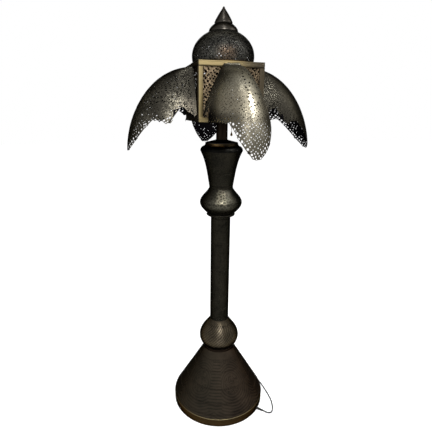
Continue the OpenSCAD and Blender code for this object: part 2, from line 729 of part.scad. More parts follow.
// A smooth line through the points, with one more between each pair
function blend(a, b, c, d) = (9 * (b + c) - a - d) / 16;
function smooth(p) = concat([p[0], p[1]],
    [for (i = [1:len(p) - 3]) each [blend(p[i - 1], p[i], p[i + 1], p[i + 2]), p[i + 1]]],
    [p[len(p) - 1]]);
function along(p) = [for (i = [0:len(p) - 1]) p[min(i + 1, len(p) - 1)] - p[max(i - 1, 0)]];

module tube(path, sides, side_way = undef) {
    r = cord_d / 2;
    rings = len(path);
    ways = along(path);
    points = [for (i = [0:rings - 1])
        let (d = unit(ways[i]), s = is_undef(side_way) ? unit(cross(d, [0, 0, 1])) : side_way,
            w = cross(s, d))
            for (k = [0:sides - 1]) let (a = 360 * (k + 0.5) / sides)
                path[i] + r * (cos(a) * s + sin(a) * w)];
    polyhedron(points, concat(
        [for (i = [0:rings - 2], k = [0:sides - 1]) let (m = (k + 1) % sides, p = i * sides)
            each [[p + k, p + sides + m, p + m], [p + k, p + sides + k, p + sides + m]]],
        [for (k = [1:sides - 2]) [0, k, k + 1]],
        [for (k = [1:sides - 2]) let (p = (rings - 1) * sides) [p, p + k + 1, p + k]]));
}

out_way = [cos(cord_angle), sin(cord_angle), 0];
lead_path = smooth(concat([lead_start, lead_start + cord_d * out_way], lead_points,
    [coil_in - cord_d * heading(coil_in_angle), coil_in]));
module cord_lead() { color([0.07, 0.07, 0.07]) tube(lead_path, 8); }

// The lead inside: from the cord's hole to the axis under the weight, then up the rod
lead_bend = 4 * cord_d;
side_way = [-sin(cord_angle), cos(cord_angle), 0];
inner_path = concat([lead_start],
    [for (a = [0:15:90]) lead_bend * (1 - sin(a)) * out_way
        + [0, 0, cord_exit_z + lead_bend * (1 - cos(a))]],
    [[0, 0, holder_z]]);
module inner_lead() { color([0.1, 0.1, 0.1]) tube(inner_path, 8, side_way); }
module cord_coil() { color([0.07, 0.07, 0.07]) tube(coil_path, 6); }

// Plug, beside the coil
plug_gap = 20;
plug_z = 8;
plug_relief = 18;
plug_l = 36;
plug_w = 27;
plug_h = 13;
pin_r = 2;
pin_l = 19;
pin_span = 19;
tail_end = [coil_out[0] - plug_gap, coil_out[1], plug_z];
tail_path = smooth([coil_out, coil_out + [-cord_d, 0, -0.1], coil_out + [-plug_gap / 2, 0, -0.9],
    tail_end + [cord_d, 0, 0.05], tail_end]);
module cord_tail() { color([0.07, 0.07, 0.07]) tube(tail_path, 8); }

module plug_body() {
    color([0.07, 0.07, 0.07]) translate(tail_end) rotate([0, 0, 180]) {
        rotate([0, 90, 0]) cylinder(r1 = cord_d / 2 + 0.6, r2 = cord_d / 2 + 3, h = plug_relief);
        translate([plug_relief - 1, 0, -plug_h / 2]) linear_extrude(plug_h)
            polygon([[0, -6], [7, -plug_w / 2], [plug_l, -plug_w / 2], [plug_l, plug_w / 2],
                [7, plug_w / 2], [0, 6]]);
    }
}

module plug_pins() {
    for (y = [-pin_span / 2, pin_span / 2])
        color([0.75, 0.75, 0.74]) translate(tail_end) rotate([0, 0, 180])
            translate([plug_relief - 1 + plug_l, y, 0]) rotate([0, 90, 0])
                cylinder(r = pin_r, h = pin_l);
}

felt_ring();
foot_band();
base_cone();
weight_plate();
cord_grommet();
strain_relief();
inner_lead();
cord_lead();
cord_coil();
cord_tail();
plug_body();
plug_pins();
centre_rod();
rod_nuts();
rod_washers();
lower_collar();
lower_ball();
centring_discs();
column_tube();
knop_ring();
upper_knop();
vase();
vase_shoulder();
vase_band();
vase_cap();
neck_tube();
lantern_base();
low_rim();
corner_posts();
panel_front();
panel_right();
panel_back();
panel_left();
top_rim();
top_plate();
leaf_brackets();
leaf_front();
leaf_right();
leaf_back();
leaf_left();
holder_cup();
lampholder();
holder_shell();
bulb_cap();
bulb_glass();
chain_eyelet();
pull_chain();
pull_bell();
dome_flange();
dome();
dome_cap();
finial();
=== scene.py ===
# Lantern floor lamp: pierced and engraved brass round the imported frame.
# Metres, +Z up, the front leaf towards -Y.
import math

import bmesh
import bpy
import numpy as np
from mathutils import Matrix, Vector


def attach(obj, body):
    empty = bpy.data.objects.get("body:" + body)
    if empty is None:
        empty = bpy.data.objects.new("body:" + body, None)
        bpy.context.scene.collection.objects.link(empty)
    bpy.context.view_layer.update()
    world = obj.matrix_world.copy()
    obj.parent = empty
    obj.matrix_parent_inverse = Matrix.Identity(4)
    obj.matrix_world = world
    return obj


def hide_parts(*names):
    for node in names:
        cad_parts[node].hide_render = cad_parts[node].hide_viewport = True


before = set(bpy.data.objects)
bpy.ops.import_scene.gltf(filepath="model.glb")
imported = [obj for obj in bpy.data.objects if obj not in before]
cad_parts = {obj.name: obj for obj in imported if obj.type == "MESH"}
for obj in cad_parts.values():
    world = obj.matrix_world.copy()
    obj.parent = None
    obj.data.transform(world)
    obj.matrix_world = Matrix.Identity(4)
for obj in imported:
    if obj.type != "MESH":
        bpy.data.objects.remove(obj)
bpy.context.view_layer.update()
mm = 0.001
turn = 2 * math.pi

# heights of the lamp's joins, in millimetres, as part.scad has them
levels = {
    "bandTop": 38, "coneTop": 280, "collarTop": 291, "ballMid": 333, "ballTop": 420, "columnTop": 908,
    "knopBase": 918, "knopMid": 965, "waist": 1030, "rim": 1178, "shoulderTop": 1197,
    "domeMid": 1527, "skirt": 1613.66, "finialFoot": 1640.46, "finialTop": 1700.46,
}

# radii of the turned stem at some of them
radii = {"collar": 73, "ball": 89, "column": 41.5, "knopBase": 56, "knop": 88, "waist": 49, "rim": 86.5}


def placed(name, data):
    made = bpy.data.objects.new(name, data)
    bpy.context.scene.collection.objects.link(made)
    return made


# camera
cameraLook = {"away": 1.517, "height": 1.3357, "round": -15.43, "aside": 0.743, "down": 15.967,
              "roll": 0.665, "lens": 30.905}


def makeCamera(look):
    around = math.radians(look["round"])
    spot = (look["away"] * math.sin(around), -look["away"] * math.cos(around), look["height"])
    data = bpy.data.cameras.new("photoCamera")
    data.lens = look["lens"]
    data.sensor_width = 36
    data.sensor_fit = "HORIZONTAL"
    data.clip_start, data.clip_end = 0.05, 60
    camera = placed("photoCamera", data)
    camera.matrix_world = (Matrix.Translation(spot)
                           @ Matrix.Rotation(math.radians(look["aside"] + look["round"]), 4, "Z")
                           @ Matrix.Rotation(math.radians(90 - look["down"]), 4, "X")
                           @ Matrix.Rotation(math.radians(look["roll"]), 4, "Z"))
    bpy.context.scene.camera = camera


makeCamera(cameraLook)
print("camera is set")


# materials: sums and products of Value objects add their nodes
class Value:
    def __init__(self, nodes, socket):
        self.nodes, self.socket = nodes, socket

    def maths(self, operation, *values):
        return self.nodes.node("ShaderNodeMath", {"operation": operation}, values)

    def __add__(self, other):
        return self.maths("ADD", self, other)

    def __sub__(self, other):
        return self.maths("SUBTRACT", self, other)

    def __rsub__(self, other):
        return self.maths("SUBTRACT", other, self)

    def __mul__(self, other):
        return self.maths("MULTIPLY", self, other)

    def __truediv__(self, other):
        return self.maths("DIVIDE", self, other)

    def __pow__(self, other):
        return self.maths("POWER", self, other)

    def __mod__(self, other):
        return self.maths("FLOORED_MODULO", self, other)

    def __lt__(self, other):
        return self.maths("LESS_THAN", self, other)

    def __gt__(self, other):
        return self.maths("GREATER_THAN", self, other)

    def __abs__(self):
        return self.maths("ABSOLUTE", self)

    __radd__ = __add__
    __rmul__ = __mul__

    def sine(self):
        return self.maths("SINE", self)

    def least(self, other):
        return self.maths("MINIMUM", self, other)

    def most(self, other):
        return self.maths("MAXIMUM", self, other)

    def rise(self, low, high):  # 0 under low, 1 over high, smooth between
        return self.nodes.node("ShaderNodeMapRange", {"interpolation_type": "SMOOTHSTEP"},
                               [self, low, high, 0.0, 1.0])

    def fall(self, low, high):  # 1 under low, 0 over high
        return 1 - self.rise(low, high)


class Nodes:
    def __init__(self, tree):
        self.tree = tree

    def node(self, kind, settings, values, out=0):
        made = self.tree.nodes.new(kind)
        for name, setting in settings.items():
            setattr(made, name, setting)
        for name, value in (values.items() if isinstance(values, dict) else enumerate(values)):
            if isinstance(value, Value):
                self.tree.links.new(value.socket, made.inputs[name])
            else:
                made.inputs[name].default_value = value
        return Value(self, made.outputs[out])


class Finish(Nodes):
    def __init__(self, name):
        self.material = bpy.data.materials.new(name)
        self.material.use_nodes = True
        super().__init__(self.material.node_tree)
        self.shader = self.tree.nodes["Principled BSDF"]
        self.place = self.node("ShaderNodeTexCoord", {}, [], 3)

    def axes(self):
        split = self.node("ShaderNodeSeparateXYZ", {}, [self.place]).socket.node
        return [Value(self, out) for out in split.outputs]

    def noise(self, scale, detail=4.0, rough=0.5):
        return self.node("ShaderNodeTexNoise", {"noise_dimensions": "3D"},
                         {"Vector": self.place, "Scale": scale, "Detail": detail, "Roughness": rough})

    def cells(self, scale, feature, random):
        return self.node("ShaderNodeTexVoronoi", {"feature": feature},
                         {"Vector": self.place, "Scale": scale, "Randomness": random})

    def mix(self, mask, first, second):
        return self.node("ShaderNodeMix", {"data_type": "RGBA"},
                         {0: mask, 6: paint(first), 7: paint(second)}, 2)

    def tint(self, shade, look, **masks):  # lays tints of the look over the shade, each by its mask
        for name, mask in masks.items():
            shade = self.mix(mask, shade, look[name])
        return shade

    def bump(self, height, depth, normal=None):
        values = {"Height": height, "Distance": depth, "Strength": 1.0}
        if normal:
            values["Normal"] = normal
        return self.node("ShaderNodeBump", {}, values)

    def put(self, **values):
        for name, value in values.items():
            socket = self.shader.inputs[name.replace("_", " ")]
            if isinstance(value, Value):
                self.tree.links.new(value.socket, socket)
            else:
                socket.default_value = paint(value)
        return self.material


def colour(shade):  # an sRGB shade of 0 to 255, as a linear colour
    return tuple((c / 255 / 12.92 if c <= 10 else ((c / 255 + 0.055) / 1.055) ** 2.4) for c in shade) + (1.0,)


def paint(value):
    return colour(value) if isinstance(value, tuple) and len(value) == 3 else value


def lineOf(value, width):  # a line of that half width at each whole number
    return 1 - abs((value + 0.5) % 1 - 0.5).rise(width * 0.4, width)


# Brass is cut with a pattern, gone dark with age, then tinted in places, mostly with painted highlights
# and painted shade. Each look has its high and low shade, how rough it is, how much its cuts darken it,
# how deep they are in millimetres, and its tints. Each work gives the shade and the cuts, from how old
# the brass is at a spot, to which some works add painted shade.
class Spot:  # metres along the axes, turns round the stem, and millimetres up
    def __init__(self, f):
        self.x, self.y, self.z = f.axes()
        self.angle = self.y.maths("ARCTAN2", self.y, self.x) / turn
        self.height = self.z * 1000


def aged(f, look, cut, old):
    return f.mix((cut * look.get("cutting", 0.6) + old).least(1.0).most(0.0), look["high"], look["low"])


# flowers in cells with stalks winding between them, and how far each spot is from its flower
def flowers(f, look):
    drift = f.noise(26.0, 2.0, 0.5)
    petals = f.cells(look["fine"], "F1", 0.85)
    edge = f.cells(look["fine"], "DISTANCE_TO_EDGE", 0.85)
    return (1 - edge.rise(0.03, 0.12)).most((petals * 26 + drift * 9).sine().rise(0.35, 0.85) * 0.8), petals


stemBrass = {"high": (36, 34, 28), "low": (13, 13, 11), "rough": 0.34, "fine": 105.0, "net": 84.0,
             "halo": (82, 80, 70), "rubbed": (124, 119, 102), "shoulder": (12, 12, 11)}


def stemWork(f, at, look, old):  # a painted highlight on the knop's front, brightest on the ridges of its net
    cut = flowers(f, look)[0]
    ridges = 1 - f.cells(look["net"], "DISTANCE_TO_EDGE", 0.9).rise(0.04, 0.12)
    near = abs(at.angle + 0.288)
    # painted highlight on the knop's front: a soft halo round a bright patch
    halo = near.fall(0.02, 0.16) * at.height.rise(940, 966) * at.height.fall(1004, 1030)
    rubbed = near.fall(0.023, 0.058) * at.height.rise(960, 976) * at.height.fall(1002, 1032)
    # the shoulder tint is painted shade on the vase's shoulder
    return f.tint(aged(f, look, cut, old), look,
                  halo=halo * (0.35 + ridges * 0.5), rubbed=rubbed * (0.1 + ridges * 0.9),
                  shoulder=(at.height > levels["rim"] - 1) * 0.9), cut


coneBrass = {"high": (54, 46, 38), "low": (19, 17, 15), "rough": 0.42, "cutting": 0.5,
             "medals": 6, "medalTurn": 0.83, "medalAt": 158, "medalHigh": 37, "green": (34, 34, 28)}


# round medals set in arcs, with a strip of level lines after every second one
def coneWork(f, at, look, old):
    angle, height = at.angle * look["medals"] + look["medalTurn"], at.height
    medal = ((angle % 1 - 0.5) ** 2 * 16 + ((height - look["medalAt"]) / look["medalHigh"]) ** 2) ** 0.5
    strip = (abs(angle / 2 % 1 - 0.5) < 0.085) * (height > 66) * (height < 250)
    wave = f.noise(40.0, 2.0, 0.5)
    petals = (f.cells(74.0, "F1", 0.8) * 15 + wave * 6).sine().rise(0.3, 0.8)
    arcs = lineOf(medal * 3.6 + wave * 0.5, 0.3) * (medal > 1.0) * (1 - strip) * (height < 236) * 0.7
    level = lineOf(height / 11 + wave * 0.5, 0.28) * strip
    hatch = lineOf(at.angle * 60, 0.2) * (abs(height - 242) < 7) * 0.5
    cut = arcs.most(level).most(petals * (medal < 0.98)).most(hatch)
    return f.tint(aged(f, look, cut, old), look, green=at.x.fall(-0.08, 0.06) * 0.45), cut


ballBrass = {"high": (70, 63, 51), "low": (22, 20, 16), "rough": 0.32,
             "rubbed": (94, 86, 73), "under": (16, 13, 11)}


def ballWork(f, at, look, old):  # hatched both ways, with a painted highlight down its front and painted shade below
    angle, height = at.angle, at.height
    wave = f.noise(34.0, 2.0, 0.5) * 1.6
    cut = lineOf(angle * 40 - height / 13 + wave, 0.3).most(
        lineOf(angle * 34 + height / 15 + wave, 0.24) * 0.5)
    # painted highlight down the ball's front
    rubbed = abs(angle + 0.281).fall(0.014, 0.044) * height.rise(312, 352) * height.fall(396, 412)
    # the under tint is painted shade on the ball's underside
    return f.tint(aged(f, look, cut, old), look,
                  rubbed=rubbed * (1 - cut) * 0.7, under=height.fall(308, 320) * 0.85), cut


domeBrass = {"high": (73, 72, 67), "low": (17, 17, 17), "rough": 0.3, "fine": 110.0, "cutting": 0.9,
             "warm": (98, 80, 63), "crown": (104, 102, 94)}


def domeWork(f, at, look, old):  # a painted warm sheen low on the front, and painted light round the cap
    cut, petals = flowers(f, look)
    shade = aged(f, look, cut, old)
    cut = cut.most(1 - petals.rise(0.18, 0.3))  # a pit in each flower
    warm = at.z.fall(1.53, 1.565) * abs(at.x + 0.016).fall(0.005, 0.05) * (at.y < 0.0)
    # the crown tint is painted light on the dome round its cap
    return f.tint(shade, look, warm=warm * (1 - cut) * 0.65,
                  crown=at.z.rise(1.572, 1.602) * (1 - cut) * 0.7), cut


leafBrass = {"high": (114, 110, 97), "low": (41, 39, 34), "rough": 0.34, "fine": 110.0, "deep": 0.03,
             "upper": (38, 37, 32), "leftUpper": (24, 23, 22), "lobe": (78, 74, 64),
             "belowShine": (44, 41, 36), "leftCheek": (140, 132, 114), "rightCheek": (176, 166, 142),
             "corner": (19, 18, 20), "flank": (86, 80, 70), "tab": (50, 48, 41)}


# painted shade makes the side leaves the darkest; the front one has painted light on its cheeks,
# painted shade in a corner and a flat middle tone on its lobe
def leafWork(f, at, look, old):
    x, y, z = at.x, at.y, at.z
    front, outer, left = y < -0.13, y < -0.15, x < -0.124
    cut = flowers(f, look)[0]
    # painted shade: the side and back leaves are darkened, the right one most
    side = (abs(x).rise(0.124, 0.14) + (y > -0.12) * 1.0).least(1.0)
    old = old + side * (cut * 0.5 + 0.64) + (x > 0.125) * 0.2
    cut = cut * (1 - z.rise(1.3, 1.36) * front * 0.2)
    # painted light on the front leaf's cheeks
    cheekLight = front * (1 - cut) * z.rise(1.315, 1.345)
    # painted shade in the front leaf's lower left corner, by the lantern
    corner = x.fall(-0.104, -0.074) * z.fall(1.32, 1.37) * (y < -0.124) * (x > -0.13)
    # painted highlight on the left leaf's low front flank, by the lantern
    flank = z.fall(1.33, 1.4) * x.rise(-0.22, -0.16) * y.fall(-0.1, -0.04) * left
    return f.tint(aged(f, look, cut, old), look,
                  upper=z.rise(1.43, 1.46) * z.fall(1.455, 1.475) * x.fall(-0.03, 0.01) * front * 0.4,
                  leftUpper=z.rise(1.41, 1.46) * left * 0.4,
                  lobe=z.fall(1.357, 1.402) * outer * 0.88 * (1 - cut * 0.8),
                  belowShine=z.fall(1.31, 1.33) * z.rise(1.265, 1.295) * outer * 0.4,
                  leftCheek=z.fall(1.38, 1.43) * x.fall(-0.01, 0.02) * cheekLight * 0.45,
                  rightCheek=z.fall(1.41, 1.46) * x.rise(0.06, 0.09) * cheekLight * 0.6,
                  corner=corner * 0.8, flank=flank * (1 - cut) * 0.8, tab=(z > 1.487) * 0.6), cut


goldBrass = {"high": (150, 134, 96), "low": (68, 61, 49), "rough": 0.36,
             "dullEnd": (64, 58, 48), "shadow": (26, 22, 16), "leftSide": (18, 17, 17)}


def frameWork(f, at, look, old):  # darker to the right, with a painted shadow where the top rim meets the panels and painted shade on the left side
    cut = f.noise(160.0, 3.0, 0.6) * 0.35
    old = old * 0.6 + at.x.rise(0.02, 0.11) * 0.9 - (at.z > 1.4805) * 0.2
    return f.tint(aged(f, look, cut, old), look,
                  dullEnd=(at.z > 1.4845) * at.x.rise(-0.02, 0.08) * 0.75,
                  shadow=(at.z > 1.4805) * (at.z < 1.4848) * 0.9,
                  # painted shade on the lantern's left side
                  leftSide=(at.x < -0.1195) * 0.85), cut


panelBrass = {"high": (146, 128, 103), "low": (64, 55, 43), "rough": 0.36, "fine": 110.0,
              "dirt": (40, 34, 26), "leftSide": (18, 17, 17)}


def panelWork(f, at, look, old):  # painted shade along the frame, on the left side, and on the front panel behind the front leaf
    cut = flowers(f, look)[0]
    front = at.y < -0.12
    dirt = at.z.rise(1.476, 1.482).most(abs(at.x).rise(0.1, 0.106) * front)
    # painted shade on the front panel right of its middle, behind the front leaf
    return f.tint(aged(f, look, cut, old + at.x.rise(0.01, 0.06) * front * 0.45), look,
                  dirt=dirt * 0.6, leftSide=(at.x < -0.1195) * 0.85), cut


def plainWork(f, at, look, old):
    cut = f.noise(60.0, 3.0, 0.6).rise(0.5, 0.8) * 0.4
    return aged(f, look, cut, old), cut


bandBrass = {"high": (36, 30, 20), "low": (18, 16, 12), "rough": 0.34, "gold": (110, 88, 56)}


def bandWork(f, at, look, old):  # the band under the vase's cap has a painted gold highlight on its front only
    shade, cut = plainWork(f, at, look, old)
    gold = abs(at.angle + 0.336).fall(0.04, 0.08) * lineOf((at.height - 1199.5) / 6, 0.34)
    return f.tint(shade, look, gold=gold * 0.8), cut


footBrass = {"high": (48, 37, 21), "low": (23, 18, 11), "rough": 0.38, "bead": (132, 120, 90)}


def footWork(f, at, look, old):  # the bead on the foot has a painted highlight, strongest at the front
    shade, cut = plainWork(f, at, look, old)
    front = abs(at.angle + 0.292).fall(0.01, 0.17)
    return f.tint(shade, look, bead=at.height.rise(35.4, 36.6) * (0.2 + front * 0.5)), cut


brassLooks = {
    "engravedBrass": (stemWork, stemBrass),
    "coneBrass": (coneWork, coneBrass),
    "ballBrass": (ballWork, ballBrass),
    "domeBrass": (domeWork, domeBrass),
    "leafBrass": (leafWork, leafBrass),
    "goldBrass": (frameWork, goldBrass),
    "panelBrass": (panelWork, panelBrass),
    "bandBrass": (bandWork, bandBrass),
    "footBrass": (footWork, footBrass),
    "darkBrass": (plainWork, {"high": (54, 51, 47), "low": (20, 19, 17), "rough": 0.3, "deep": 0.6}),
    "copperBrass": (plainWork, {"high": (27, 21, 16), "low": (11, 10, 8), "rough": 0.34}),
    "plainBrass": (plainWork, {"high": (120, 100, 62), "low": (60, 48, 30), "rough": 0.38}),
    # painted shade: the inner faces of the leaves, panels and dome are near black
    "shadedInnerBrass": (plainWork, {"high": (13, 12, 14), "low": (6, 6, 7), "rough": 0.6}),
}


def brass(name, work, look):
    f = Finish(name)
    stain, grain = f.noise(14.0, 5.0, 0.6), f.noise(900.0, 2.0, 0.6)
    shade, cut = work(f, Spot(f), look, stain.rise(0.35, 0.75) * 0.5)
    return f.put(Base_Color=shade, Metallic=1.0, Specular_Tint=(60, 56, 50),
                 Roughness=stain * 0.22 + cut * 0.12 + (look["rough"] - 0.12) + grain * 0.04,
                 Normal=f.bump(grain, 0.03 * mm, f.bump(1 - cut, look.get("deep", 0.2) * mm)))


def madeOf(name, shade, worn, rough, metal=0.0, scale=220.0, depth=0.0002, extra=None):
    f = Finish(name)
    spots, fine = f.noise(scale / 8, 4.0), f.noise(scale, 3.0)
    return f.put(Base_Color=f.mix((spots * 0.6 + fine * 0.4).rise(0.35, 0.7), shade, worn), Metallic=metal,
                 Roughness=rough - 0.05 + fine * 0.12, Normal=f.bump(fine, depth), **(extra or {}))


finishes = {name: brass(name, *look) for name, look in brassLooks.items()}
finishes.update({
    "felt": madeOf("feltNap", (30, 30, 28), (44, 43, 40), 0.95, scale=1400, depth=0.0006,
                   extra={"Sheen_Weight": 0.4}),
    "iron": madeOf("castIron", (44, 44, 44), (62, 56, 50), 0.75, 0.6, scale=500, depth=0.0006),
    "steel": madeOf("zincPlate", (168, 168, 160), (132, 130, 120), 0.38, 1.0, scale=300),
    "rubber": madeOf("blackRubber", (22, 22, 22), (34, 33, 32), 0.6, scale=900),
    "cord": madeOf("cordSheath", (20, 20, 20), (30, 30, 29), 0.46, scale=700, depth=0.0001),
    "plug": madeOf("plugPlastic", (22, 22, 23), (30, 30, 30), 0.36, scale=500, depth=0.0001),
    "pins": madeOf("pinPlate", (205, 205, 200), (170, 170, 164), 0.22, 1.0, scale=200, depth=0.00005),
    "bakelite": madeOf("bakelite", (26, 21, 19), (38, 30, 26), 0.24, scale=160, depth=0.00004),
    "opal": madeOf("opalGlass", (240, 236, 226), (232, 226, 212), 0.18, scale=60, depth=0.00002,
                   extra={"Subsurface_Weight": 0.4, "Coat_Weight": 0.5}),
    "bulbCap": madeOf("bulbCap", (200, 200, 196), (166, 164, 158), 0.3, 1.0, scale=240, depth=0.0001),
})
print("materials are mixed")


# making pieces
def keep(name, bm, look, sharp=38):
    for face in bm.faces:
        face.smooth = True
    for edge in bm.edges:
        if len(edge.link_faces) < 2 or edge.calc_face_angle(0) > math.radians(sharp):
            edge.smooth = False
    mesh = bpy.data.meshes.new(name)
    bm.to_mesh(mesh)
    bm.free()
    mesh.materials.append(finishes[look["finish"]])
    made = placed(name, mesh)
    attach(made, look.get("body", "lamp"))
    if look.get("instead"):
        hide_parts(*look["instead"])
    return made


# a closed outline of radius and height turned on the axis, with its corners spread out if it is square
def spun(outline, steps=128, spread=1.0, start=0.0):
    bm = bmesh.new()
    way = Matrix.Rotation(start, 3, "Z")
    ring = [bm.verts.new(way @ Vector((r * spread * mm, 0, z * mm))) for r, z in outline]
    edges = [bm.edges.new((a, b)) for a, b in zip(ring, ring[1:] + ring[:1])]
    bmesh.ops.spin(bm, geom=ring + edges, cent=(0, 0, 0), axis=(0, 0, 1), dvec=(0, 0, 0),
                   angle=turn, steps=steps, use_merge=True)
    bmesh.ops.remove_doubles(bm, verts=bm.verts, dist=2e-6)
    bmesh.ops.dissolve_degenerate(bm, edges=bm.edges, dist=1e-6)
    bmesh.ops.recalc_face_normals(bm, faces=bm.faces)
    return bm


def shellOf(line, wall):  # the closed outline of a wall under a line that runs upwards
    return line + [(r - wall, z) for r, z in reversed(line)]


def capped(line, bore, wall):  # the closed outline of a cap and its underside, in to a bore
    top, last = line[-1][1], len(line) - 1
    return line + [(bore, top), (bore, top - wall)] + [
        (r - wall, z - wall * i / last) for i, (r, z) in reversed(list(enumerate(line)))]


def bulge(radius, out, low, high, steps):  # an edge that swells between two heights
    return [(radius + out * math.sin(math.pi * u), low + (high - low) * u) for u in np.linspace(0, 1, steps)]


def swell(rEnd, rMid, zEnd, zMid, power, steps):
    return [(rEnd + (rMid - rEnd) * math.sin(math.pi / 2 * i / steps) ** power,
             zEnd + (zMid - zEnd) * i / steps) for i in range(steps + 1)]


def crown(rTop, rLow, z, rise, steps=12):
    angles = [math.pi / 2 * i / steps for i in range(steps + 1)]
    return [(rTop + (rLow - rTop) * math.cos(a), z + rise * math.sin(a)) for a in angles]


def grooved(line, places, depth, width):  # turned grooves cut into a line, at distances along it
    out, walked = [line[0]], 0.0
    for (r0, z0), (r1, z1) in zip(line, line[1:]):
        step = math.hypot(r1 - r0, z1 - z0)
        side = ((z1 - z0) / step, (r0 - r1) / step) if step else (1, 0)
        for at in places:
            for shift, cut in ((-0.5, 0), (-0.2, 1), (0.2, 1), (0.5, 0)):
                d = at + shift * width - walked
                if 0 < d < step:
                    u = d / step
                    out.append((r0 + (r1 - r0) * u - side[0] * depth * cut,
                                z0 + (z1 - z0) * u - side[1] * depth * cut))
        walked += step
        out.append((r1, z1))
    return out


def turned(name, line, look, steps):  # a grooved wall, turned on the axis
    line = grooved(line, look["grooves"], look["deep"], look["wide"])
    return keep(name, spun(shellOf(line, look["wall"]), steps), look)


def toSide(bm, number):  # turns a sheet from the front to another side
    bmesh.ops.rotate(bm, verts=bm.verts, cent=(0, 0, 0), matrix=Matrix.Rotation(turn / 4 * number, 3, "Z"))


# cord: out at the foot, round the right side and into a coil behind
cordLook = {"thick": 6.0, "floor": 3.05, "exitRadius": 239.5, "exitHeight": 8.0, "coilAt": (109, 237),
            "coilRadius": 44.0, "inAngle": 19.0, "outAngle": 90.0, "turns": 6 + 71 / 360, "rings": 24}
leadPoints = [
    (179, -179, 7), (187, -184, 5.6), (197, -185, 4.2), (206, -182, 3.4), (213, -175, 3.05),
    (219, -164, 3.05), (225, -148, 3.05), (230, -128, 3.05), (233, -104, 3.05), (233, -78, 3.05),
    (232, -52, 3.05), (230, -26, 3.05), (227, 0, 3.05), (223, 25, 3.05), (218, 50, 3.05),
    (212, 74, 3.05), (205, 97, 3.05), (197, 120, 3.05), (189, 144, 3.05), (180, 168, 3.05),
    (172, 192, 3.05), (164, 215, 3.05), (157, 236, 3.05)]


def smoothed(points):  # one more point between each pair, as the solid cord has
    points = [Vector(p) for p in points]
    out = points[:2]
    for a, b, c, d in zip(points, points[1:], points[2:], points[3:]):
        out += [(9 * (b + c) - a - d) / 16, c]
    return out + points[-1:]


def cordRoute(look):
    thick, radius = look["thick"], look["coilRadius"]
    pitch, lift = thick * 1.15, thick + 0.8
    layer = (look["turns"] - 0.5) / 2
    inner = radius - pitch * layer

    def coilPoint(turns):
        climb = min(max((turns - layer) / 0.5, 0), 1)
        if turns <= layer:
            r = radius - pitch * turns
        elif climb < 1:
            r = inner - pitch / 2 * (1 - (1 - climb) ** 2)
        else:
            r = inner - pitch / 2 + (radius - inner + pitch / 2) * (turns - layer - 0.5) / layer
        a = math.radians(look["inAngle"]) + turn * turns
        return Vector((look["coilAt"][0] + r * math.cos(a), look["coilAt"][1] + r * math.sin(a),
                       look["floor"] + lift * climb ** 2))

    def heading(angle):
        return Vector((-math.sin(math.radians(angle)), math.cos(math.radians(angle)), 0))

    out = Vector((math.cos(-math.pi / 4), math.sin(-math.pi / 4), 0))
    start = out * look["exitRadius"] + Vector((0, 0, look["exitHeight"]))
    inward, outward = heading(look["inAngle"]), heading(look["outAngle"])
    coilIn = coilPoint(0) - thick * inward
    coilOut = coilPoint(look["turns"]) + thick * outward
    end = Vector((coilOut.x - 20, coilOut.y, 8))
    lead = smoothed([start, start + thick * out] + leadPoints + [coilIn - thick * inward, coilIn])
    coil = [coilPoint(i / look["rings"]) for i in range(int(look["rings"] * look["turns"]) + 1)]
    tail = smoothed([coilOut, coilOut + Vector((-thick, 0, -0.1)), coilOut + Vector((-10, 0, -0.9)),
                     end + Vector((thick, 0, 0.05)), end])
    return [p * mm for p in lead + coil + [coilPoint(look["turns"])] + tail], end * mm


def makeCord(look, route):
    curve = bpy.data.curves.new("mainsCord", "CURVE")
    curve.dimensions = "3D"
    curve.bevel_depth = look["thick"] / 2 * mm
    curve.bevel_resolution = 4
    curve.use_fill_caps = True
    spline = curve.splines.new("POLY")
    spline.points.add(len(route) - 1)
    for point, place in zip(spline.points, route):
        point.co = (*place, 1)
    curve.materials.append(finishes["cord"])
    return placed("mainsCord", curve)


route, plugSpot = cordRoute(cordLook)
mainsCord = makeCord(cordLook, route)
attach(mainsCord, "lamp")
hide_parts("cord_lead", "cord_coil", "cord_tail")

plugLook = {"body": "lamp", "slot": "cord_sheath", "finish": "plug", "instead": ["plug_body"],
            "relief": 18.0, "long": 36.0, "wide": 27.0, "high": 13.0, "round": 3.5, "ribs": 5}


